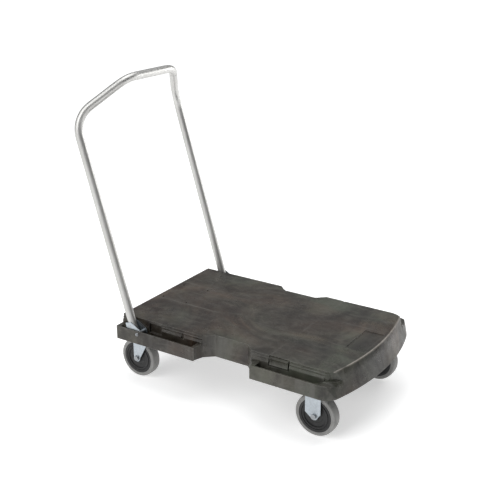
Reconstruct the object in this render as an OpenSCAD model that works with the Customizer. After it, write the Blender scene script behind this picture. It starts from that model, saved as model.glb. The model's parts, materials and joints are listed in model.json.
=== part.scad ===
// Folding platform cart: a moulded deck on four casters with a fold-down tube handle.
// Millimetres. X runs from the handle end to the bowed front, Y to the left, Z up from the floor.

/* [Deck] */
// Overall width across the outer side walls
deck_w = 521; // [500:1:560]
// Length from the rear wall to the middle of the bowed front, at the skirt
deck_len = 778; // [760:1:820]
// Height of the load surface above the floor
deck_top = 217; // [215:1:220]
// Half width of the raised load platform
platform_half = 225; // [222:0.5:226]
// Half width at the waist between the side notches
waist_half = 200; // [190:1:205]
// Radius of the bowed front, seen from above
front_r = 800; // [700:10:1200]
// How far the front wall leans out from its top edge to the skirt
front_rake = 23; // [15:1:30]

/* [Handle] */
// Outside diameter of the handle tube
tube_d = 25.4; // [22:0.1:26]
// Wall thickness of the handle tube
tube_wall = 1.5; // [1.2:0.1:2.5]
// Distance of each handle leg from the centre line
leg_y = 241.5; // [240:0.5:242]
// Angle that the open handle leans back from vertical
lean = 16.8; // [10:0.1:20]
// Length of a leg from the pivot to the point where the grip turns forward
leg_len = 667; // [640:1:680]
// Angle between the legs and the grip
grip_tilt = 58.2; // [50:0.1:65]
// Depth of the grip, measured along its own slope
grip_depth = 143.4; // [130:0.1:150]
// Half length of the straight middle of the grip
grip_half = 110; // [90:1:120]

/* [Casters] */
// Wheel diameter over the tread
wheel_d = 127; // [120:0.5:127]
// Width of the tread
tread_w = 32; // [28:0.5:34]
// Trail of the swivel casters behind their kingpins
trail = 35; // [30:1:38]

/* [Hidden] */
$fn = 72;
e = 0.01;
// Moves the rear wall back so that the origin is the middle of the envelope
origin_x = -320.91;

// Deck levels and walls
skirt_z = 147.5;
wall_top = 190;
groove_z = 160;
plate_t = 6;
wall_t = 4.5;
outer_half = deck_w / 2;
groove_out = outer_half - wall_t;
groove_in = 230;
// Side of the platform above the channels: a rim, a small step and a sloping ledge, as [y, z]
side_profile = [[225, 209.5], [226.6, 207.8], [226.6, 203], [groove_in, 196.2]];
ledge_gap_x = [223, 233];
ledge_cut_x = 150;
front_x = deck_len - front_rake;
corner_r = 45;
// Side notches: the ends of the outer wall and of the waist
notch = [[284, outer_half + 2], [297, platform_half], [325, waist_half],
         [438, waist_half], [466, platform_half], [492, outer_half + 2]];
groove_rear_x = 118;
groove_front_x = 702;
ramp_x = 640;
ramp_top = 187;
saddle_gap = 0.8;
corner_solid_y = 188;
saddle_step = 12;
saddle_run = 24;
platform_r = 60;
// Middle of the front wall at the height of the wall top
wall_top_x = front_x + front_rake * (deck_top - wall_top) / (deck_top - skirt_z);

// Hinge
pivot_x = 80;
pivot_z = 180;
leg_set = 23.2;
bolt_d = 8;
run_fit = 0.05;
cheek_t = 2;
lug_r = 14;
bracket_low = -15;
bracket_high = 38;
pocket_x = [14, 122];
pocket_z = 152.5;
pocket_in = 226;
// Recess under the platform's rim, ahead of each bracket
recess_x = [100, 150];
recess_y = [218, 226];
recess_z = [178, 210];
pocket_out = 256.8;
cheek_gap = tube_d + 0.1;
cheek_out = leg_y + cheek_gap / 2 + cheek_t;
cheek_in = leg_y - cheek_gap / 2 - cheek_t;
tube_r = tube_d / 2;
leg_end = -10;
elbow_r = 88;
grip_bend_r = 82;
grip_step_y = leg_y - grip_half;
folded_z = pivot_z + leg_set;

// Snap clips beside the folded handle
clip_x = [529, 588];
clip_slot = 4;
clip_top = 214;
clip_root_z = 186;
clip_foot = 4;
clip_t = 5;
clip_lip_z = [193.5, 213];
clip_clear = 0.4;

// Casters
wheel_r = wheel_d / 2;
hub_r = 51.3;
rear_kingpin_x = 64;
rear_y = 186;
front_axle_x = 667;
front_y = 196;
rear_axle_x = rear_kingpin_x - trail;
pad_z = 156;
plate_size = [95, 60];
caster_plate_t = 3;
bolt_span = [76, 44];
crown_z = 140;
crown_r = 27;
fork_t = 2.5;
fork_tip_r = 11.5;
fork_in = 18.5;
axle_d = 10;
sleeve_r = 6.35;
screw_r = 3.4;
race_r = 18;
ball_r = 3;
ball_count = 12;

// Underside ribs
rib_t = 4;
rib_z = 166;
rib_rows = [-140, -62, 0, 82, 140];
rib_columns = [150, 227, 310, 382, 455, 527, 600, 680];
tie_holes = [[20, 58], [20, -52], [114, 62], [114, -56]];
tie_hole_d = 7;
label_recess = [680, 740, 67, 2];

function unit(v) = v / norm(v);
// Point on the bowed front at a distance y from the centre line, inset towards the rear
function bow(y, x_mid) = x_mid - front_r + sqrt(front_r * front_r - y * y);

// ---------- Deck ----------

// Plan outline of the deck, half width h, front middle at x_mid, grown inwards by inset
module outline(h, x_mid, inset = 0) {
    steps = 14;
    offset(delta = -inset) difference() {
        offset(r = corner_r) offset(delta = -corner_r) polygon(concat(
            [[-100, -h]],
            [for (i = [0 : steps]) let (y = -h + 2 * h * i / steps) [bow(y, x_mid), y]],
            [[-100, h]]));
        translate([-200, -h - 10]) square([200, 2 * h + 20]);
        for (s = [-1, 1])
            offset(r = 8) offset(r = -8) polygon([for (p = notch) [p[0], s * p[1]]]);
    }
}

// Raked front: a wide cone that narrows from the skirt to the load surface
module front_rake_limit(inset = 0) {
    translate([front_x - front_r, 0, skirt_z - e])
        cylinder(h = deck_top - skirt_z + 2 * e, r1 = front_r + front_rake - inset,
            r2 = front_r - inset, $fn = 200);
}

module slab(z0, z1) translate([0, 0, z0]) linear_extrude(z1 - z0) children();

module side_band(x0, x1, y0, y1, z0, z1) {
    for (s = [-1, 1])
        translate([x0, s > 0 ? y0 : -y1, z0]) cube([x1 - x0, y1 - y0, z1 - z0]);
}

// Block with the platform's side profile, long enough for every section of the channels
module ledge_block() {
    half = concat([[groove_in, skirt_z]], [for (i = [3 : -1 : 0]) side_profile[i]]);
    translate([-1, 0, 0]) rotate([90, 0, 90]) linear_extrude(groove_front_x + 1)
        polygon(concat(half, [for (i = [4 : -1 : 0]) [-half[i][0], half[i][1]]]));
}

// Room for the folded tube over the front corners: short runs along its first bend
module folded_saddles() {
    for (s = [-1, 1], turn = [0 : saddle_step : 3 * saddle_step]) {
        shoulder = shoulder_dir(s);
        inward = unit(shoulder - (leg_dir * shoulder) * leg_dir);
        along = cos(turn) * leg_dir + sin(turn) * inward;
        touch = elbow(s) - elbow_reach * leg_dir
            + elbow_r * (sin(turn) * leg_dir + (1 - cos(turn)) * inward);
        translate([pivot_x, 0, pivot_z]) rotate([0, 90 + lean, 0]) translate([-pivot_x, 0, -pivot_z])
            run(touch - saddle_run / 2 * along, along, saddle_run, tube_r + saddle_gap);
    }
}

module deck_skin() {
    intersection() {
        union() {
            slab(skirt_z, wall_top) outline(outer_half, deck_len);
            intersection() {
                ledge_block();
                slab(skirt_z, deck_top) outline(outer_half, deck_len);
            }
            slab(skirt_z, deck_top) intersection() {
                outline(outer_half, deck_len);
                offset(r = platform_r) offset(delta = -platform_r) intersection() {
                    translate([-60, -platform_half]) square([60 + deck_len, 2 * platform_half]);
                    translate([wall_top_x + 3 - front_r, 0]) circle(r = front_r, $fn = 200);
                }
            }
        }
        front_rake_limit();
    }
}

module deck_cavity() {
    slab(skirt_z - 1, groove_z - wall_t) outline(outer_half, deck_len - 4, wall_t);
    difference() {
        intersection() {
            slab(skirt_z - 1, deck_top - plate_t) intersection() {
                outline(outer_half, deck_len - 4, wall_t);
                translate([wall_t, -platform_half + wall_t])
                    square([front_x - 20, 2 * (platform_half - wall_t)]);
            }
            front_rake_limit(7);
        }
        // solid corners under the saddles, and solid backs to the bracket recesses
        side_band(groove_front_x - 6, deck_len, corner_solid_y, outer_half, groove_z - wall_t, deck_top);
        side_band(recess_x[0] - wall_t, recess_x[1] + wall_t, recess_y[0] - wall_t, outer_half,
            recess_z[0] - wall_t, deck_top);
    }
}

// Channel beside the platform, from x0 to x1, with a ramp at its front end if ramp is true
module channel(x0, x1, ramp) {
    floor_points = ramp ? [[x0, groove_z], [ramp_x, groove_z], [x1, ramp_top]]
                        : [[x0, groove_z], [x1, groove_z]];
    for (s = [-1, 1])
        translate([0, s > 0 ? groove_out : -groove_in, 0]) rotate([90, 0, 0])
            linear_extrude(groove_out - groove_in)
                polygon(concat(floor_points, [[x1, deck_top], [x0, deck_top]]));
}

// Grid of stiffening ribs, stopped short of the casters
module deck_ribs() {
    intersection() {
        union() {
            for (y = rib_rows)
                translate([wall_t, y - rib_t / 2, rib_z])
                    cube([front_x - 20, rib_t, deck_top - plate_t - rib_z + e]);
            for (x = rib_columns)
                translate([x - rib_t / 2, -platform_half, rib_z])
                    cube([rib_t, 2 * platform_half, deck_top - plate_t - rib_z + e]);
        }
        slab(rib_z - 1, deck_top) outline(outer_half, deck_len - 6, wall_t - 1);
        front_rake_limit(6);
    }
}

module caster_bosses() {
    for (s = [-1, 1], c = [[rear_kingpin_x, rear_y], [front_axle_x, front_y]])
        translate([c[0], s * c[1], 0])
            for (i = [-1, 1], j = [-1, 1])
                translate([i * bolt_span[0] / 2, j * bolt_span[1] / 2, pad_z]) {
                    cylinder(h = deck_top - plate_t - pad_z + e, r = 8.5);
                    translate([-2, j > 0 ? -22 : 0, 12]) cube([4, 22, deck_top - plate_t - pad_z - 12]);
                }
}

module boss_bores() {
    for (s = [-1, 1], c = [[rear_kingpin_x, rear_y], [front_axle_x, front_y]])
        translate([c[0], s * c[1], pad_z - 1])
            for (i = [-1, 1], j = [-1, 1])
                translate([i * bolt_span[0] / 2, j * bolt_span[1] / 2, 0]) cylinder(h = 29, r = screw_r);
}

module hinge_pockets() {
    side_band(pocket_x[0], pocket_x[1], pocket_in, pocket_out, pocket_z, deck_top);
    // the ledge is cut back so that the brackets can swing past it
    side_band(pocket_x[0], ledge_cut_x, platform_half, groove_out, groove_z, deck_top);
    side_band(recess_x[0], recess_x[1], recess_y[0], recess_y[1], recess_z[0], recess_z[1]);
    side_band(ledge_gap_x[0], ledge_gap_x[1], platform_half + 1, groove_in + 1, wall_top, deck_top);
    for (s = [-1, 1])
        translate([pivot_x, s * (platform_half - 8), pivot_z]) rotate([s > 0 ? -90 : 90, 0, 0])
            cylinder(h = 60, r = bolt_d / 2 + 0.1);
}

module stop_ribs() side_band(pocket_x[0] - 1, 37, leg_y - 4, leg_y + 4, pocket_z - 1, wall_top - 2);

// Springy tongues with a hollowed face that grips the folded handle leg
module snap_clips() {
    for (s = [-1, 1])
        mirror([0, s > 0 ? 0 : 1, 0]) translate([clip_x[0], 0, 0]) rotate([90, 0, 90])
            linear_extrude(clip_x[1] - clip_x[0]) difference() {
                union() {
                    translate([platform_half - 1.5, clip_root_z - clip_foot])
                        square([clip_t, clip_top - clip_root_z + clip_foot]);
                    translate([platform_half + 3, clip_lip_z[0]])
                        square([4.6, clip_lip_z[1] - clip_lip_z[0]]);
                }
                translate([leg_y, folded_z]) circle(r = tube_r + clip_clear);
            }
}

module deck() {
    color([0.26, 0.25, 0.24]) {
        difference() {
            union() {
                difference() {
                    deck_skin();
                    deck_cavity();
                }
                deck_ribs();
                caster_bosses();
                side_band(pocket_x[0] - wall_t, pocket_x[1] + wall_t, pocket_in - wall_t,
                    outer_half - 1, skirt_z, groove_z - wall_t + 3);
                side_band(pocket_x[0] - wall_t, pocket_x[1] + wall_t, pocket_in - wall_t,
                    groove_in, skirt_z, wall_top);
            }
            boss_bores();
            hinge_pockets();
            channel(groove_rear_x, notch[0][0] - wall_t, false);
            channel(notch[5][0] + wall_t, groove_front_x, true);
            folded_saddles();
            side_band(clip_x[0] - clip_slot, clip_x[1] + clip_slot, platform_half - 3, groove_in + 2,
                clip_root_z, deck_top + 1);
            for (p = tie_holes)
                translate([p[0], p[1], deck_top - 40]) cylinder(h = 50, d = tie_hole_d);
            translate([label_recess[0], -label_recess[2], deck_top - label_recess[3]])
                cube([label_recess[1] - label_recess[0], 2 * label_recess[2], 5]);
        }
        stop_ribs();
        snap_clips();
    }
}

// ---------- Handle ----------

// Directions in the rest pose; s is the side, +1 for the left leg
leg_dir = [-sin(lean), 0, cos(lean)];
leg_back = [-cos(lean), 0, -sin(lean)];
grip_up = [sin(grip_tilt - lean), 0, cos(grip_tilt - lean)];
function pivot(s) = [pivot_x, s * leg_y, pivot_z];
function elbow(s) = pivot(s) + leg_len * leg_dir + leg_set * leg_back;
function grip_corner(s) = elbow(s) + grip_depth * grip_up + [0, -s * grip_step_y, 0];
function shoulder_dir(s) = unit(grip_corner(s) - elbow(s));
function bend_angle(a, b) = acos(a * b);
function bend_reach(a, b, r) = r * tan(bend_angle(a, b) / 2);
elbow_reach = bend_reach(leg_dir, shoulder_dir(1), elbow_r);
grip_reach = bend_reach(shoulder_dir(1), [0, -1, 0], grip_bend_r);

// The tube draws down a little where it is bent, and each run enters its bends by the seam
seam = 0.5;
drawn = 0.25;

// Straight run of tube from p along the unit vector d
module run(p, d, length, r) {
    side = unit(cross(d, abs(d[2]) > 0.9 ? [1, 0, 0] : [0, 0, 1]));
    other = cross(d, side);
    multmatrix([[side[0], other[0], d[0], p[0]], [side[1], other[1], d[1], p[1]],
                [side[2], other[2], d[2], p[2]], [0, 0, 0, 1]])
        translate([0, 0, -seam]) cylinder(h = length + 2 * seam, r = r);
}

// Bend of radius r_bend that starts at p along a and ends along b
module bend(p, a, b, r_bend, r) {
    inward = unit(b - (a * b) * a);
    x = -inward;
    z = cross(x, a);
    c = p + r_bend * inward;
    multmatrix([[x[0], a[0], z[0], c[0]], [x[1], a[1], z[1], c[1]],
                [x[2], a[2], z[2], c[2]], [0, 0, 0, 1]])
        rotate_extrude(angle = bend_angle(a, b)) translate([r_bend, 0]) circle(r = r - drawn);
}

module handle_path(r, over = 0) {
    for (s = [-1, 1]) {
        shoulder = shoulder_dir(s);
        run(pivot(s) + leg_set * leg_back + (leg_end - over) * leg_dir, leg_dir,
            leg_len - leg_end - elbow_reach + over, r);
        bend(elbow(s) - elbow_reach * leg_dir, leg_dir, shoulder, elbow_r, r);
        run(elbow(s) + elbow_reach * shoulder, shoulder,
            norm(grip_corner(s) - elbow(s)) - elbow_reach - grip_reach, r);
        bend(grip_corner(s) - grip_reach * shoulder, shoulder, [0, -s, 0], grip_bend_r, r);
    }
    run(grip_corner(1) + [0, -grip_reach, 0], [0, -1, 0], 2 * (grip_half - grip_reach), r);
}

module hinge_frame(s) translate(pivot(s)) rotate([0, -lean, 0]) children();

// Rivet holes cross the leg above its lower end
rivet_up = [2, 26];
rivet_r = 2.4;
module rivet_bores(s, r) {
    hinge_frame(s) for (u = rivet_up)
        translate([-leg_set, 0, u]) rotate([90, 0, 0]) cylinder(h = 40, r = r, center = true);
}

module handle_tube() {
    color([0.78, 0.78, 0.77]) difference() {
        handle_path(tube_r);
        handle_path(tube_r - tube_wall, 1);
        for (s = [-1, 1]) rivet_bores(s, rivet_r);
    }
}

// Sheet steel U around the leg, with lugs that reach forward to the pivot
module cheek_shape() {
    back = -leg_set - tube_r - 0.05 - cheek_t;
    difference() {
        union() {
            circle(r = lug_r);
            polygon([[back, bracket_low], [back, bracket_high], [-17, bracket_high],
                     [9.6, 10.2], [4, -13.4]]);
        }
        circle(r = bolt_d / 2 + run_fit);
    }
}

module handle_bracket(s) {
    back = -leg_set - tube_r - 0.05 - cheek_t;
    color([0.82, 0.83, 0.85]) difference() {
        hinge_frame(s) {
            for (y = [-cheek_gap / 2, cheek_gap / 2 + cheek_t])
                translate([0, y, 0]) rotate([90, 0, 0]) linear_extrude(cheek_t) cheek_shape();
            translate([back, -cheek_gap / 2 - e, bracket_low])
                cube([cheek_t, cheek_gap + 2 * e, bracket_high - bracket_low]);
        }
        rivet_bores(s, rivet_r);
    }
}

module bracket_rivets(s) {
    color([0.7, 0.7, 0.7]) hinge_frame(s) for (u = rivet_up)
        translate([-leg_set, 0, u]) rotate([90, 0, 0]) {
            cylinder(h = cheek_gap + 2 * cheek_t, r = rivet_r, center = true);
            // flat heads stay inside the clearance that the washers keep
            for (m = [0, 1]) mirror([0, 0, m])
                translate([0, 0, cheek_gap / 2 + cheek_t]) cylinder(h = 0.35, r = 4);
        }
}

module tube_plug(s) {
    color([0.12, 0.12, 0.12]) hinge_frame(s) translate([-leg_set, 0, leg_end]) {
        translate([0, 0, -1.5]) cylinder(h = 1.5, r = tube_r - 0.3);
        translate([0, 0, -e]) cylinder(h = 8, r = tube_r - tube_wall);
    }
}

// Pivot hardware, built along +Y outwards from the leg's own plane
module on_pivot(s) translate([pivot_x, 0, pivot_z]) mirror([0, s > 0 ? 0 : 1, 0]) rotate([-90, 0, 0])
    children();

nut_y = pocket_in - wall_t;
module pivot_bolt(s) {
    color([0.75, 0.76, 0.78]) on_pivot(s) {
        translate([0, 0, nut_y - 10]) cylinder(h = outer_half - nut_y + 10, r = bolt_d / 2);
        difference() {
            translate([0, 0, outer_half]) cylinder(h = 3.6, r1 = 5.6, r2 = 4.4);
            translate([0, 0, outer_half + 1.6]) cylinder(h = 3, r = 2.5, $fn = 6);
        }
    }
}

module pivot_sleeve(s) {
    color([0.7, 0.71, 0.72]) on_pivot(s) translate([0, 0, cheek_in + cheek_t + 0.1]) difference() {
        cylinder(h = cheek_gap - 0.2, r = 6);
        translate([0, 0, -1]) cylinder(h = cheek_gap + 2, r = bolt_d / 2 + run_fit);
    }
}

module pivot_washers(s) {
    color([0.9, 0.9, 0.86]) on_pivot(s)
        for (z = [[pocket_in, cheek_in - 0.1], [cheek_out + 0.1, pocket_out]])
            translate([0, 0, z[0]]) difference() {
                cylinder(h = z[1] - z[0], r = 10);
                translate([0, 0, -1]) cylinder(h = 3, r = bolt_d / 2 + run_fit);
            }
}

module nut(across, h, bore_r) {
    difference() {
        cylinder(h = h, r = across / sqrt(3), $fn = 6);
        translate([0, 0, -1]) cylinder(h = h + 2, r = bore_r);
    }
}

module pivot_nut(s) {
    color([0.75, 0.76, 0.78]) on_pivot(s) translate([0, 0, nut_y - 7.5]) nut(13, 7.5, bolt_d / 2);
}

// ---------- Casters ----------

module at_caster(x, y, s) translate([x, s * y, 0]) mirror([0, s > 0 ? 0 : 1, 0]) children();

module plate_shape() {
    difference() {
        offset(r = 6) offset(delta = -6) square(plate_size, center = true);
        for (i = [-1, 1], j = [-1, 1])
            translate([i * bolt_span[0] / 2, j * bolt_span[1] / 2]) circle(r = 4.3);
    }
}

// Fixed top plate with the upper ball track pressed into it
module swivel_plate(s) {
    color([0.8, 0.82, 0.84]) at_caster(rear_kingpin_x, rear_y, s) difference() {
        union() {
            translate([0, 0, pad_z - caster_plate_t]) linear_extrude(caster_plate_t) plate_shape();
            rotate_extrude() polygon([[5, pad_z - caster_plate_t], [26, pad_z - caster_plate_t],
                [26, 147.6], [23.2, 147.6], [23.2, 150.6], [12.8, 150.6], [12.8, 149], [5, 149]]);
        }
        translate([0, 0, crown_z]) cylinder(h = 30, r = 5);
    }
}

module kingpin(s) {
    color([0.7, 0.71, 0.73]) at_caster(rear_kingpin_x, rear_y, s) {
        translate([0, 0, crown_z - 1.5]) cylinder(h = pad_z - crown_z + 1.5, r = 5);
        translate([0, 0, crown_z - 5.5]) cylinder(h = 4, r1 = 8, r2 = 10);
    }
}

module bearing_balls(s) {
    color([0.85, 0.85, 0.85]) at_caster(rear_kingpin_x, rear_y, s)
        for (i = [0 : ball_count - 1])
            rotate([0, 0, 360 * i / ball_count]) translate([race_r, 0, 147.2])
                sphere(r = ball_r, $fn = 32);
}

// Leg of a fork seen from the side: straight sides that taper to the axle
module fork_leg_shape(top_x0, top_x1, axle_x, top_z, knee) {
    difference() {
        union() {
            polygon([[top_x0, top_z], [top_x1, top_z], [top_x1, knee[1]], [axle_x + 8, wheel_r - 7.5],
                     [axle_x - 8, wheel_r - 7.5], [top_x0, knee[0]]]);
            translate([axle_x, wheel_r]) circle(r = fork_tip_r);
        }
        translate([axle_x, wheel_r]) circle(r = axle_d / 2);
    }
}

module fork_legs(top_x0, top_x1, axle_x, top_z, knee) {
    for (j = [-1, 1])
        translate([0, j > 0 ? fork_in + fork_t : -fork_in, 0]) rotate([90, 0, 0])
            linear_extrude(fork_t) fork_leg_shape(top_x0, top_x1, axle_x, top_z, knee);
}

module swivel_fork(s) {
    color([0.8, 0.82, 0.84]) at_caster(rear_kingpin_x, rear_y, s) difference() {
        union() {
            intersection() {
                fork_legs(-trail - fork_tip_r, 14, -trail, crown_z + 3, [wheel_r, crown_z - 6]);
                translate([0, 0, -1]) linear_extrude(crown_z + 5)
                    translate([-60, -22]) square([80, 44]);
            }
            translate([0, 0, crown_z]) linear_extrude(3) intersection() {
                union() {
                    circle(r = crown_r);
                    translate([-trail - fork_tip_r, -fork_in - fork_t])
                        square([trail + fork_tip_r, 2 * (fork_in + fork_t)]);
                }
                translate([-trail - fork_tip_r, -crown_r])
                    square([trail + fork_tip_r + crown_r, 2 * crown_r]);
            }
        }
        translate([0, 0, crown_z - 1]) cylinder(h = 6, r = 5 + run_fit);
    }
}

module rigid_fork(s) {
    color([0.8, 0.82, 0.84]) at_caster(front_axle_x, front_y, s) {
        fork_legs(-29, 20, 0, pad_z - e, [72, 73]);
        translate([0, 0, pad_z - caster_plate_t]) linear_extrude(caster_plate_t) plate_shape();
    }
}

module axle_bolt(x, y, s) {
    reach = fork_in + fork_t;
    color([0.72, 0.73, 0.75]) at_caster(x, y, s) translate([0, 0, wheel_r]) rotate([-90, 0, 0]) {
        translate([0, 0, -reach - 9.5]) cylinder(h = 2 * reach + 9.5, r = axle_d / 2);
        translate([0, 0, reach]) cylinder(h = 5, r = 8.5, $fn = 6);
    }
}

module axle_nut(x, y, s) {
    reach = fork_in + fork_t;
    color([0.72, 0.73, 0.75]) at_caster(x, y, s) translate([0, 0, wheel_r]) rotate([90, 0, 0])
        translate([0, 0, reach]) nut(17, 8, axle_d / 2);
}

module axle_sleeve(x, y, s) {
    color([0.65, 0.66, 0.68]) at_caster(x, y, s) translate([0, 0, wheel_r]) rotate([90, 0, 0])
        difference() {
            cylinder(h = 2 * fork_in - 0.1, r = sleeve_r, center = true);
            cylinder(h = 2 * fork_in + 2, r = axle_d / 2, center = true);
        }
}

module hub(x, y, s) {
    half = tread_w / 2;
    color([0.1, 0.1, 0.11]) at_caster(x, y, s) translate([0, 0, wheel_r]) rotate([90, 0, 0])
        rotate_extrude() {
            bore = sleeve_r + run_fit;
            polygon([[bore, -half - 1.5], [13, -half - 1.5], [15, -half + 3.5], [35, -half + 3.5],
                [37, -half + 0.5], [40, -half + 0.5], [41, -half + 2.5], [43, -half + 2.5],
                [44, -half + 0.5], [hub_r, -half + 0.5], [hub_r, half - 0.5], [44, half - 0.5],
                [43, half - 2.5], [41, half - 2.5], [40, half - 0.5], [37, half - 0.5],
                [35, half - 3.5], [15, half - 3.5], [13, half + 1.5], [bore, half + 1.5]]);
        }
}

module tyre(x, y, s) {
    edge = 4;
    color([0.58, 0.58, 0.57]) at_caster(x, y, s) translate([0, 0, wheel_r]) rotate([90, 0, 0])
        rotate_extrude() difference() {
            translate([hub_r, -tread_w / 2]) square([wheel_r - hub_r, tread_w]);
            for (m = [-1, 1]) difference() {
                translate([wheel_r - edge, m > 0 ? tread_w / 2 - edge : -tread_w / 2 - 1])
                    square([edge + 1, edge + 1]);
                translate([wheel_r - edge, m * (tread_w / 2 - edge)]) circle(r = edge);
            }
        }
}

module caster_screws(x, y, s) {
    color([0.72, 0.73, 0.75]) at_caster(x, y, s)
        for (i = [-1, 1], j = [-1, 1])
            translate([i * bolt_span[0] / 2, j * bolt_span[1] / 2, pad_z - caster_plate_t]) {
                cylinder(h = 22, r = screw_r);
                translate([0, 0, -1.5]) cylinder(h = 1.5, r = 7);
                translate([0, 0, -6]) cylinder(h = 4.5, r = 5.8, $fn = 6);
            }
}

module placed() translate([origin_x, 0, 0]) children();

placed() deck();
placed() handle_tube();
placed() handle_bracket(1);  // left_handle_bracket
placed() handle_bracket(-1);  // right_handle_bracket
placed() bracket_rivets(1);  // left_bracket_rivets
placed() bracket_rivets(-1);  // right_bracket_rivets
placed() tube_plug(1);  // left_tube_plug
placed() tube_plug(-1);  // right_tube_plug
placed() pivot_bolt(1);  // left_pivot_bolt
placed() pivot_bolt(-1);  // right_pivot_bolt
placed() pivot_sleeve(1);  // left_pivot_sleeve
placed() pivot_sleeve(-1);  // right_pivot_sleeve
placed() pivot_washers(1);  // left_pivot_washers
placed() pivot_washers(-1);  // right_pivot_washers
placed() pivot_nut(1);  // left_pivot_nut
placed() pivot_nut(-1);  // right_pivot_nut
placed() swivel_plate(1);  // rear_left_plate
placed() swivel_plate(-1);  // rear_right_plate
placed() caster_screws(rear_kingpin_x, rear_y, 1);  // rear_left_screws
placed() caster_screws(rear_kingpin_x, rear_y, -1);  // rear_right_screws
placed() kingpin(1);  // rear_left_kingpin
placed() kingpin(-1);  // rear_right_kingpin
placed() bearing_balls(1);  // rear_left_balls
placed() bearing_balls(-1);  // rear_right_balls
placed() swivel_fork(1);  // rear_left_fork
placed() swivel_fork(-1);  // rear_right_fork
placed() axle_bolt(rear_axle_x, rear_y, 1);  // rear_left_axle_bolt
placed() axle_bolt(rear_axle_x, rear_y, -1);  // rear_right_axle_bolt
placed() axle_nut(rear_axle_x, rear_y, 1);  // rear_left_axle_nut
placed() axle_nut(rear_axle_x, rear_y, -1);  // rear_right_axle_nut
placed() axle_sleeve(rear_axle_x, rear_y, 1);  // rear_left_sleeve
placed() axle_sleeve(rear_axle_x, rear_y, -1);  // rear_right_sleeve
placed() hub(rear_axle_x, rear_y, 1);  // rear_left_hub
placed() hub(rear_axle_x, rear_y, -1);  // rear_right_hub
placed() tyre(rear_axle_x, rear_y, 1);  // rear_left_tyre
placed() tyre(rear_axle_x, rear_y, -1);  // rear_right_tyre
placed() rigid_fork(1);  // front_left_fork
placed() rigid_fork(-1);  // front_right_fork
placed() caster_screws(front_axle_x, front_y, 1);  // front_left_screws
placed() caster_screws(front_axle_x, front_y, -1);  // front_right_screws
placed() axle_bolt(front_axle_x, front_y, 1);  // front_left_axle_bolt
placed() axle_bolt(front_axle_x, front_y, -1);  // front_right_axle_bolt
placed() axle_nut(front_axle_x, front_y, 1);  // front_left_axle_nut
placed() axle_nut(front_axle_x, front_y, -1);  // front_right_axle_nut
placed() axle_sleeve(front_axle_x, front_y, 1);  // front_left_sleeve
placed() axle_sleeve(front_axle_x, front_y, -1);  // front_right_sleeve
placed() hub(front_axle_x, front_y, 1);  // front_left_hub
placed() hub(front_axle_x, front_y, -1);  // front_right_hub
placed() tyre(front_axle_x, front_y, 1);  // front_left_tyre
placed() tyre(front_axle_x, front_y, -1);  // front_right_tyre
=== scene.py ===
import json
import math

import bpy
import bmesh
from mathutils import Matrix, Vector


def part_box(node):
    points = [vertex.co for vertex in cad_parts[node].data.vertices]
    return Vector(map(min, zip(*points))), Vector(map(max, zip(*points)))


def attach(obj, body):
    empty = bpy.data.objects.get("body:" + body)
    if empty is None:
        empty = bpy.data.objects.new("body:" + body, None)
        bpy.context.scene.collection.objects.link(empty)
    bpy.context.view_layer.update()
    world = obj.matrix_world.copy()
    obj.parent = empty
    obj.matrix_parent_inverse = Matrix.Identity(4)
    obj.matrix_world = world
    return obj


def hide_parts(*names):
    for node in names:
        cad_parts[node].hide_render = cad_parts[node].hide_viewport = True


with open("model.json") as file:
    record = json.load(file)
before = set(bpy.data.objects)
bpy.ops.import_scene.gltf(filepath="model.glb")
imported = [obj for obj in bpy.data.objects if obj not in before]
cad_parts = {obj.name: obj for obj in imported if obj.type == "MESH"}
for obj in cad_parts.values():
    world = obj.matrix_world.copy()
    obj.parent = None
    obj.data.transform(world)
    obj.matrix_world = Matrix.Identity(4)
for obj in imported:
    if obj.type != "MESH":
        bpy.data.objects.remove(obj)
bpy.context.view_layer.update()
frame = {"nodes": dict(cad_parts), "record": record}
NODES = frame["nodes"]
RECORD = frame["record"]
SCENE = bpy.context.scene

# Camera
LENS = 64.83
SENSOR = 36.0
CAMERA_PLACE = (1.3748, -2.1465, 1.3601)
CAMERA_YAW = 122.70
CAMERA_PITCH = 20.27
CLIP_END = 150

# Studio: the strength of the whole world, and the grey that the camera sees of it
WORLD_STRENGTH = 0.60
BACKDROP = 1.9

# Area lamps: name, place, the point it faces, width and height, watts
LAMPS = (("key", (-0.9, -2.7, 2.6), (0, 0, 0.3), (3.0, 3.0), 62),
         ("top", (0.1, 0.3, 3.6), (0, 0, 0.2), (3.0, 3.0), 58),
         ("far_strip", (1.1, 3.0, 1.3), (0, 0, 0.4), (2.0, 1.6), 34))

# Floor: it glows a little, and more where the lamps no longer reach, so that it stays white
FLOOR_HALF = 60.0
FLOOR_ALBEDO = 0.88
FLOOR_GLOW = 0.50
FAR_FLOOR_GLOW = 0.90
GLOW_FROM = 1.2
GLOW_TO = 5.0

# Deck features that its wear marks, the painted highlight along the front rim and the darker
# recess floor follow
DECK_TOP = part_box("deck")[1][2]
FRONT_RAKE = 0.023
BOW_RADIUS = 0.800
BOW_CENTRE_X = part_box("deck")[1][0] - FRONT_RAKE - BOW_RADIUS
RIM_FROM_X = BOW_CENTRE_X + 0.72
RECESS_X = 0.389
RECESS_REACH = 0.040
RECESS_HALF_Y = 0.067
RIBS_Y = (0.082, -0.062)
RIB_X = 0.206

# Wheels
HUB_BORE = 0.0064
WHEEL_STEPS = 128
SHARP_ANGLE = 38.0

# Rounded edges of the CAD solids
BEVEL_WIDTHS = {"deck": 0.0011, "rear_left_fork": 0.0005, "rear_right_fork": 0.0005,
                "front_left_fork": 0.0005, "front_right_fork": 0.0005}
BEVEL_ANGLE = 28.0
BEVEL_SEGMENTS = 2
WELD_DISTANCE = 0.00002


# ---------------------------------------------------------------- shader helpers

def rgba(value):
    """A colour with its alpha, from one grey or from three channels."""
    return (*((value,) * 3 if isinstance(value, (int, float)) else value), 1)


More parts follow.
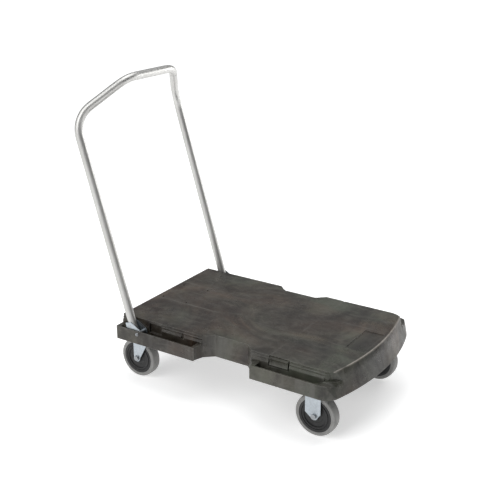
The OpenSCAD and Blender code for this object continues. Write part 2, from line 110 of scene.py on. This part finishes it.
class Graph:
    """A node tree with short calls for the nodes in it."""

    def __init__(self, tree, coordinates="Object"):
        self.tree = tree
        self.coords = self.node("ShaderNodeTexCoord").outputs[coordinates]

    def node(self, kind, **settings):
        n = self.tree.nodes.new(kind)
        for key, value in settings.items():
            setattr(n, key, value)
        return n

    def plug(self, value, socket):
        if isinstance(value, bpy.types.NodeSocket):
            self.tree.links.new(value, socket)
        else:
            socket.default_value = value

    def scaled(self, scale):
        n = self.node("ShaderNodeMapping")
        self.plug(self.coords, n.inputs["Vector"])
        self.plug(scale, n.inputs["Scale"])
        return n.outputs["Vector"]

    def noise(self, scale, detail=4.0, rough=0.55, distort=0.0, coords=None):
        n = self.node("ShaderNodeTexNoise")
        self.plug(coords or self.coords, n.inputs["Vector"])
        self.plug(scale, n.inputs["Scale"])
        self.plug(detail, n.inputs["Detail"])
        self.plug(rough, n.inputs["Roughness"])
        self.plug(distort, n.inputs["Distortion"])
        return n.outputs["Fac"]

    def ramp(self, value, *stops):
        """Blends from stop to stop; a stop is a position and a grey or a colour."""
        n = self.node("ShaderNodeValToRGB")
        self.plug(value, n.inputs["Fac"])
        elements = n.color_ramp.elements
        while len(elements) < len(stops):
            elements.new(0.5)
        for element, (position, colour) in zip(elements, stops):
            element.position = position
            element.color = rgba(colour)
        return n.outputs["Color"]

    def span(self, value, start, end, at_start, at_end):
        """Runs evenly from at_start to at_end as value goes from start to end."""
        n = self.node("ShaderNodeMapRange")
        names = ("Value", "From Min", "From Max", "To Min", "To Max")
        for name, setting in zip(names, (value, start, end, at_start, at_end)):
            self.plug(setting, n.inputs[name])
        return n.outputs["Result"]

    def math(self, op, a, b=0.0, clamp=False):
        n = self.node("ShaderNodeMath", operation=op, use_clamp=clamp)
        self.plug(a, n.inputs[0])
        self.plug(b, n.inputs[1])
        return n.outputs[0]

    def times(self, first, *others):
        """The product of all the values."""
        for other in others:
            first = self.math("MULTIPLY", first, other)
        return first

    def mix(self, fac, a, b, blend="MIX"):
        n = self.node("ShaderNodeMix", data_type="RGBA", blend_type=blend)
        self.plug(fac, n.inputs["Factor"])
        for value, socket in ((a, n.inputs[6]), (b, n.inputs[7])):
            self.plug(value if isinstance(value, bpy.types.NodeSocket) else rgba(value), socket)
        return n.outputs[2]

    def axis(self, which, vector=None):
        n = self.node("ShaderNodeSeparateXYZ")
        self.plug(vector or self.coords, n.inputs[0])
        return n.outputs[which]

    def geometry(self, name):
        return self.node("ShaderNodeNewGeometry").outputs[name]

    def up(self):
        """How far the surface faces upwards, 0 to 1."""
        return self.math("MAXIMUM", self.axis(2, self.geometry("Normal")), 0.0)

    def edge(self, radius, gain):
        """1 along sharp edges and 0 on the flats."""
        rounded = self.node("ShaderNodeBevel", samples=4)
        self.plug(radius, rounded.inputs["Radius"])
        dot = self.node("ShaderNodeVectorMath", operation="DOT_PRODUCT")
        self.plug(self.geometry("Normal"), dot.inputs[0])
        self.plug(rounded.outputs["Normal"], dot.inputs[1])
        off_flat = self.math("SUBTRACT", 1.0, dot.outputs["Value"])
        return self.math("MULTIPLY", off_flat, gain, clamp=True)

    def line(self, value, centre, half_width):
        """1 where value equals centre, fading out over half_width."""
        away = self.math("ABSOLUTE", self.math("SUBTRACT", value, centre))
        return self.math("SUBTRACT", 1.0, self.math("DIVIDE", away, half_width), clamp=True)

    def hairlines(self, scale, rough, stretch, width):
        """Thin wandering lines, where a stretched noise crosses its middle value."""
        return self.line(self.noise(scale, 2.0, rough, 0.4, self.scaled(stretch)), 0.5, width)


class Mat(Graph):
    """A Principled material; keyword arguments set the shader's sockets."""

    def __init__(self, name, **uniform):
        self.mat = bpy.data.materials.new(name)
        self.mat.use_nodes = True
        super().__init__(self.mat.node_tree)
        self.shader = self.tree.nodes["Principled BSDF"]
        for key, value in uniform.items():
            self.plug(value, self.shader.inputs[key.replace("_", " ")])

    def bump(self, height, strength, distance):
        n = self.node("ShaderNodeBump")
        self.plug(strength, n.inputs["Strength"])
        self.plug(distance, n.inputs["Distance"])
        self.plug(height, n.inputs["Height"])
        self.plug(n.outputs["Normal"], self.shader.inputs["Normal"])

    def colour(self, value):
        self.plug(value, self.shader.inputs["Base Color"])

    def rough(self, value):
        self.plug(value, self.shader.inputs["Roughness"])


# ---------------------------------------------------------------- camera, light and floor

def make_camera():
    data = bpy.data.cameras.new("camera")
    data.lens = LENS
    data.sensor_width = SENSOR
    data.clip_end = CLIP_END
    cam = bpy.data.objects.new("camera", data)
    SCENE.collection.objects.link(cam)
    cam.location = CAMERA_PLACE
    yaw, pitch = math.radians(CAMERA_YAW), math.radians(CAMERA_PITCH)
    level = math.cos(pitch)
    forward = Vector((level * math.cos(yaw), level * math.sin(yaw), -math.sin(pitch)))
    cam.rotation_mode = "QUATERNION"
    cam.rotation_quaternion = forward.to_track_quat("-Z", "Y")
    SCENE.camera = cam


def area_light(name, place, target, size, watts):
    data = bpy.data.lights.new(name, "AREA")
    data.shape = "RECTANGLE"
    data.size, data.size_y = size
    data.energy = watts
    lamp = bpy.data.objects.new(name, data)
    SCENE.collection.objects.link(lamp)
    lamp.location = place
    lamp.rotation_mode = "QUATERNION"
    lamp.rotation_quaternion = (Vector(target) - Vector(place)).to_track_quat("-Z", "Y")


def make_world():
    """A studio that is bright round the horizon, and dimmer overhead and past the front end."""
    world = bpy.data.worlds.new("studio")
    world.use_nodes = True
    g = Graph(world.node_tree, "Generated")
    height = g.ramp(g.axis(2), (0.0, 0.74), (0.75, (0.40, 0.41, 0.42)))
    front = g.span(g.axis(0), 0.1, 0.9, 1.0, 0.3)
    light = g.mix(1.0, height, front, "MULTIPLY")
    seen = g.node("ShaderNodeLightPath").outputs["Is Camera Ray"]
    back = g.tree.nodes["Background"]
    g.plug(g.mix(seen, light, (BACKDROP,) * 3), back.inputs["Color"])
    g.plug(WORLD_STRENGTH, back.inputs["Strength"])
    SCENE.world = world


def floor_material():
    m = Mat("floor", Base_Color=rgba(FLOOR_ALBEDO), Roughness=0.9, Specular_IOR_Level=0.1,
            Emission_Color=rgba(1.0))
    away = m.node("ShaderNodeVectorMath", operation="LENGTH")
    m.plug(m.coords, away.inputs[0])
    glow = m.span(away.outputs["Value"], GLOW_FROM, GLOW_TO, FLOOR_GLOW, FAR_FLOOR_GLOW)
    m.plug(glow, m.shader.inputs["Emission Strength"])
    # clear from underneath, so that the cart can be looked at from there
    sides = m.node("ShaderNodeMixShader")
    m.plug(m.geometry("Backfacing"), sides.inputs["Fac"])
    m.plug(m.shader.outputs["BSDF"], sides.inputs[1])
    m.plug(m.node("ShaderNodeBsdfTransparent").outputs["BSDF"], sides.inputs[2])
    m.plug(sides.outputs["Shader"], m.tree.nodes["Material Output"].inputs["Surface"])
    return m.mat


def make_floor():
    mesh = bpy.data.meshes.new("floor")
    signs = ((-1, -1), (1, -1), (1, 1), (-1, 1))
    corners = [(i * FLOOR_HALF, j * FLOOR_HALF, 0) for i, j in signs]
    mesh.from_pydata(corners, [], [range(len(corners))])
    floor = bpy.data.objects.new("floor", mesh)
    SCENE.collection.objects.link(floor)
    floor.data.materials.append(floor_material())


def make_stage():
    make_world()
    SCENE.view_settings.view_transform = "Standard"
    SCENE.view_settings.look = "None"
    for lamp in LAMPS:
        area_light(*lamp)
    make_floor()


# ---------------------------------------------------------------- deck plastic

def foam_colour(m, flow):
    """Mottled dark plastic with drifting brown and green casts and pale flow marks."""
    cloud = m.noise(4.6, 6.0, 0.66, 1.4)
    base = m.ramp(cloud, (0.38, (0.014, 0.011, 0.009)), (0.50, (0.035, 0.031, 0.026)),
                  (0.62, (0.074, 0.071, 0.060)))
    tint = m.noise(2.6, 3.0, 0.5, 0.9, m.scaled((1.0, 1.7, 1.0)))
    cast = m.ramp(tint, (0.38, (1.28, 0.96, 0.80)), (0.62, (0.90, 1.04, 0.90)))
    base = m.mix(1.0, base, cast, "MULTIPLY")
    base = m.mix(m.ramp(flow, (0.50, 0.0), (0.68, 0.55)), base, (0.100, 0.093, 0.078))
    fine = m.noise(34.0, 7.0, 0.78, 0.8)
    return m.mix(m.ramp(fine, (0.50, 0.0), (0.70, 0.45)), base, (0.105, 0.099, 0.086))


def rub_marks(m):
    """Patches of fine scratches along and across the load surface."""
    along = m.hairlines(9.0, 0.6, (1.0, 9.0, 1.0), 0.012)
    across = m.hairlines(8.0, 0.6, (7.0, 1.0, 1.0), 0.008)
    patches = m.ramp(m.noise(4.0, 2.0), (0.48, 0.0), (0.66, 0.45))
    return m.times(m.math("MAXIMUM", along, across), patches, m.up())


def sink_lines(m):
    """Faint lines on the top over the main ribs underneath."""
    rows = [m.line(m.axis(1), y, 0.0045) for y in RIBS_Y]
    lines = m.math("MAXIMUM", m.math("MAXIMUM", *rows), m.line(m.axis(0), RIB_X, 0.005))
    fade = m.ramp(m.noise(6.0, 3.0, 0.6), (0.38, 0.0), (0.62, 1.0))
    return m.times(lines, fade, m.math("POWER", m.up(), 8.0))


def wall_streaks(m):
    """Pale upright scuffs on the side walls."""
    side = m.math("SUBTRACT", 1.0, m.times(m.up(), 1.4), clamp=True)
    streak = m.noise(15.0, 4.0, 0.6, 0.3, m.scaled((1.0, 1.0, 0.18)))
    return m.times(m.ramp(streak, (0.52, 0.0), (0.66, 0.55)), side)


def painted_front_rim_highlight(m):
    """Painted highlight: a bright line painted along the bowed front edge of the platform top."""
    x, y = m.math("SUBTRACT", m.axis(0), BOW_CENTRE_X), m.axis(1)
    reach = m.math("SQRT", m.math("ADD", m.times(x, x), m.times(y, y)))
    on_front = m.math("GREATER_THAN", m.axis(0), RIM_FROM_X)
    on_top = m.math("GREATER_THAN", m.axis(2), DECK_TOP - 0.004)
    patches = m.ramp(m.noise(16.0, 5.0, 0.7), (0.34, 0.25), (0.58, 0.95))
    return m.times(m.line(reach, BOW_RADIUS - 0.0015, 0.0030), on_front, on_top, patches)


def recess_floor_darkening(m):
    """The floor of the recess near the front, coloured darker."""
    below = m.math("LESS_THAN", m.axis(2), DECK_TOP - 0.001)
    across = m.math("LESS_THAN", m.math("ABSOLUTE", m.axis(1)), RECESS_HALF_Y)
    upright = m.math("POWER", m.up(), 4.0)
    return m.times(m.line(m.axis(0), RECESS_X, RECESS_REACH), below, upright, across)


def deck_material():
    m = Mat("deck_structural_foam", Specular_IOR_Level=0.5)
    flow = m.noise(6.0, 7.0, 0.72, 2.8, m.scaled((1.0, 3.0, 3.0)))
    sink = sink_lines(m)
    base = m.mix(rub_marks(m), foam_colour(m, flow), (0.13, 0.125, 0.115))
    base = m.mix(m.times(sink, 0.60), base, (0.135, 0.128, 0.113))
    base = m.mix(wall_streaks(m), base, (0.105, 0.101, 0.092))
    # a little dust lies on what faces up, and sharp edges are polished bright
    dust = m.ramp(m.noise(11.0, 6.0, 0.7), (0.35, 0.0), (0.75, 0.16))
    base = m.mix(m.times(m.math("POWER", m.up(), 3.0), dust), base, (0.150, 0.143, 0.132))
    polish = m.ramp(m.noise(26.0, 4.0, 0.6), (0.35, 0.25), (0.62, 1.0))
    base = m.mix(m.times(m.edge(0.0024, 3.2), polish, 0.62), base, (0.27, 0.265, 0.25))
    # painted highlight: a bright line along the front edge of the platform top
    base = m.mix(painted_front_rim_highlight(m), base, (0.42, 0.385, 0.34))
    # the floor of the recess near the front is coloured darker
    m.colour(m.mix(m.times(recess_floor_darkening(m), 0.8), base, (0.024, 0.022, 0.019)))
    m.rough(m.ramp(m.noise(12.0, 6.0, 0.65), (0.36, 0.24), (0.64, 0.56)))
    grain = m.noise(900.0, 3.0, 0.6)
    height = m.math("ADD", m.times(grain, 0.35), m.times(flow, 1.2))
    m.bump(m.math("SUBTRACT", height, m.times(sink, 0.5)), 0.45, 0.0008)
    return m.mat


# ---------------------------------------------------------------- metals, black plastic and rubber

def tube_material():
    m = Mat("satin_tube", Metallic=1.0)
    haze = m.noise(9.0, 5.0, 0.6, 0.6)
    base = m.ramp(haze, (0.3, (0.53, 0.525, 0.508)), (0.7, (0.62, 0.617, 0.602)))
    scuffed = m.ramp(m.noise(12.0, 3.0), (0.5, 0.0), (0.7, 0.6))
    scuff = m.times(m.hairlines(40.0, 0.7, (1.0, 1.0, 0.25), 0.015), scuffed)
    m.colour(m.mix(scuff, base, (0.44, 0.435, 0.42)))
    brushed = m.noise(60.0, 6.0, 0.7, 0.2, m.scaled((1.0, 1.0, 0.12)))
    m.rough(m.ramp(brushed, (0.3, 0.36), (0.7, 0.48)))
    m.bump(m.noise(1200.0, 2.0), 0.08, 0.0002)
    return m.mat


def zinc_material(name, tint, rough_low, rough_high):
    """Plated steel with a fine spangle and grime in patches."""
    m = Mat(name, Metallic=1.0)
    spangle = m.node("ShaderNodeTexVoronoi")
    m.plug(m.coords, spangle.inputs["Vector"])
    m.plug(260.0, spangle.inputs["Scale"])
    grey = m.times(m.axis(0, spangle.outputs["Color"]), 0.5)
    cloud = m.times(m.noise(45.0, 4.0), 0.5)
    low = tuple(0.86 * c for c in tint)
    base = m.ramp(m.math("ADD", grey, cloud), (0.25, low), (0.75, tint))
    grime = m.ramp(m.noise(70.0, 5.0, 0.7), (0.55, 0.0), (0.80, 0.45))
    m.colour(m.mix(grime, base, tuple(0.45 * c for c in tint)))
    m.rough(m.ramp(m.noise(120.0, 5.0, 0.6), (0.3, rough_low), (0.7, rough_high)))
    m.bump(m.noise(500.0, 3.0), 0.12, 0.0002)
    return m.mat


def plastic_material(name, low, high, rough_low, rough_high):
    """Moulded plastic with a fine grain and dust on what faces up."""
    m = Mat(name, Specular_IOR_Level=0.5)
    base = m.ramp(m.noise(60.0, 5.0, 0.65), (0.3, low), (0.7, high))
    dust = m.times(m.ramp(m.noise(140.0, 4.0, 0.7), (0.5, 0.0), (0.8, 0.35)), m.up())
    m.colour(m.mix(dust, base, tuple(min(1.0, 2.4 * c + 0.03) for c in high)))
    m.rough(m.ramp(m.noise(90.0, 4.0), (0.3, rough_low), (0.7, rough_high)))
    m.bump(m.noise(800.0, 3.0), 0.25, 0.0002)
    return m.mat


def tread_material():
    m = Mat("grey_tread", Specular_IOR_Level=0.35)
    cloud = m.noise(38.0, 5.0, 0.65)
    base = m.ramp(cloud, (0.3, (0.25, 0.248, 0.24)), (0.7, (0.32, 0.318, 0.31)))
    grime = m.ramp(m.noise(55.0, 7.0, 0.75, 1.0), (0.46, 0.0), (0.78, 0.55))
    m.colour(m.mix(grime, base, (0.115, 0.110, 0.102)))
    m.rough(m.ramp(m.noise(80.0, 4.0), (0.3, 0.55), (0.7, 0.78)))
    m.bump(m.math("ADD", m.noise(420.0, 4.0, 0.7), m.times(grime, -0.6)), 0.35, 0.0004)
    return m.mat


def make_materials():
    """The material of each slot in the record."""
    return {
        "deck_plastic": deck_material(),
        "handle_tube": tube_material(),
        "zinc_plate": zinc_material("zinc_sheet", (0.47, 0.51, 0.545), 0.30, 0.48),
        "zinc_hardware": zinc_material("zinc_bolts", (0.36, 0.375, 0.39), 0.34, 0.52),
        "rivet_steel": zinc_material("rivets", (0.45, 0.46, 0.47), 0.35, 0.5),
        "bearing_steel": zinc_material("balls", (0.75, 0.75, 0.76), 0.08, 0.18),
        "black_plastic": plastic_material("black_caps", (0.012, 0.012, 0.012),
                                          (0.022, 0.022, 0.022), 0.38, 0.52),
        "nylon": plastic_material("nylon_washers", (0.60, 0.58, 0.50), (0.70, 0.68, 0.60),
                                  0.40, 0.55),
        "wheel_plastic": plastic_material("wheel_centres", (0.006, 0.006, 0.0062),
                                          (0.012, 0.012, 0.0125), 0.38, 0.55),
        "tread_rubber": tread_material(),
    }


def paint_cad(materials):
    """Gives every CAD solid the material of its slot."""
    for part in RECORD["subparts"]:
        data = NODES[part["node"]].data
        data.materials.clear()
        data.materials.append(materials[part["material_slot"]])
        for poly in data.polygons:
            poly.material_index = 0


def soften(node, width):
    """Rounds a CAD solid's sharp edges with modifiers, so its mesh itself stays unchanged."""
    weld = NODES[node].modifiers.new("weld", "WELD")
    weld.merge_threshold = WELD_DISTANCE
    bevel = NODES[node].modifiers.new("edges", "BEVEL")
    bevel.width = width
    bevel.segments = BEVEL_SEGMENTS
    bevel.limit_method = "ANGLE"
    bevel.angle_limit = math.radians(BEVEL_ANGLE)
    bevel.use_clamp_overlap = True
    bevel.harden_normals = True


# ---------------------------------------------------------------- turned wheels

def lathe(name, centre, profile):
    """A closed ring turned about the wheel's axle from (radius, across) points."""
    bm = bmesh.new()
    rings = []
    for i in range(WHEEL_STEPS):
        turn = 2 * math.pi * i / WHEEL_STEPS
        out = Vector((math.cos(turn), 0, math.sin(turn)))
        rings.append([bm.verts.new(centre + r * out + Vector((0, w, 0))) for r, w in profile])
    for here, after in zip(rings, rings[1:] + rings[:1]):
        for j in range(len(profile)):
            k = (j + 1) % len(profile)
            bm.faces.new((here[j], here[k], after[k], after[j]))
    bmesh.ops.recalc_face_normals(bm, faces=bm.faces)
    mesh = bpy.data.meshes.new(name)
    bm.to_mesh(mesh)
    bm.free()
    for poly in mesh.polygons:
        poly.use_smooth = True
    mesh.set_sharp_from_angle(angle=math.radians(SHARP_ANGLE))
    piece = bpy.data.objects.new(name, mesh)
    SCENE.collection.objects.link(piece)
    return piece


def arc(cx, cy, radius, start, end, steps=6):
    """Points of a circle's arc, angles in degrees."""
    turns = [math.radians(start + (end - start) * i / steps) for i in range(steps + 1)]
    return [(cx + radius * math.cos(t), cy + radius * math.sin(t)) for t in turns]


def tyre_profile(rim, top, half):
    """Crowned tread with round shoulders, a groove each side and a flash line in the middle."""
    round_r = 0.0045
    crown = 0.0007
    flash = 0.00015
    groove = 0.0006
    side = [(rim, half), (rim + 0.0028, half), (rim + 0.0033, half - groove),
            (rim + 0.0041, half - groove), (rim + 0.0046, half)]
    shoulder = arc(top - crown - round_r, half - round_r, round_r, 90, 12)
    tread = [(top - flash - crown * (w / half) ** 2, w) for w in (half * 0.6, half * 0.3, 0.0006)]
    near = side + shoulder + tread
    return near + [(top, 0.0)] + [(r, -w) for r, w in reversed(near)]


def hub_profile(bore, rim, half):
    """Dished wheel centre with a raised boss, two moulded rings and a rounded rim bead."""
    boss_r, boss_end, boss_round = 0.0118, half + 0.0013, 0.0012
    dish = half - 0.0038
    ring = dish + 0.0005
    band = half - 0.0007
    groove = band - 0.0020
    step = band - 0.0005
    edge = band - 0.0003
    near = [(bore, boss_end), (boss_r, boss_end)]
    near += arc(boss_r, boss_end - boss_round, boss_round, 90, 0, 3)
    near += [(0.0140, dish + 0.0010), (0.0152, dish)]
    near += [(0.0225, dish), (0.0229, ring), (0.0241, ring), (0.0245, dish)]
    near += [(0.0346, dish), (0.0360, edge), (0.0368, band), (0.0398, band)]
    near += [(0.0404, step), (0.0409, groove), (0.0429, groove), (0.0434, step), (0.0440, band)]
    near += [(rim - 0.0012, band + 0.0001), (rim, edge)]
    return near + [(r, -w) for r, w in reversed(near)]


def make_wheel(wheel, materials):
    """The tread and the centre of one wheel, in the places of its CAD tyre and hub."""
    low, high = (Vector(corner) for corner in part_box(f"{wheel}_tyre"))
    hub_low, hub_high = (Vector(corner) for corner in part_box(f"{wheel}_hub"))
    top, half = (high.z - low.z) / 2, (high.y - low.y) / 2
    rim = (hub_high.z - hub_low.z) / 2
    pieces = (("tread", tyre_profile(rim, top, half), "tyre", "tread_rubber"),
              ("centre", hub_profile(HUB_BORE, rim, half), "hub", "wheel_plastic"))
    for name, profile, node, slot in pieces:
        piece = lathe(f"{wheel}_{name}", (low + high) / 2, profile)
        piece.data.materials.append(materials[slot])
        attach(piece, f"{wheel}_wheel")
        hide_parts(f"{wheel}_{node}")


make_camera()
make_stage()
MATERIALS = make_materials()
paint_cad(MATERIALS)
for node, width in BEVEL_WIDTHS.items():
    soften(node, width)
for end in ("rear", "front"):
    for side in ("left", "right"):
        make_wheel(f"{end}_{side}", MATERIALS)
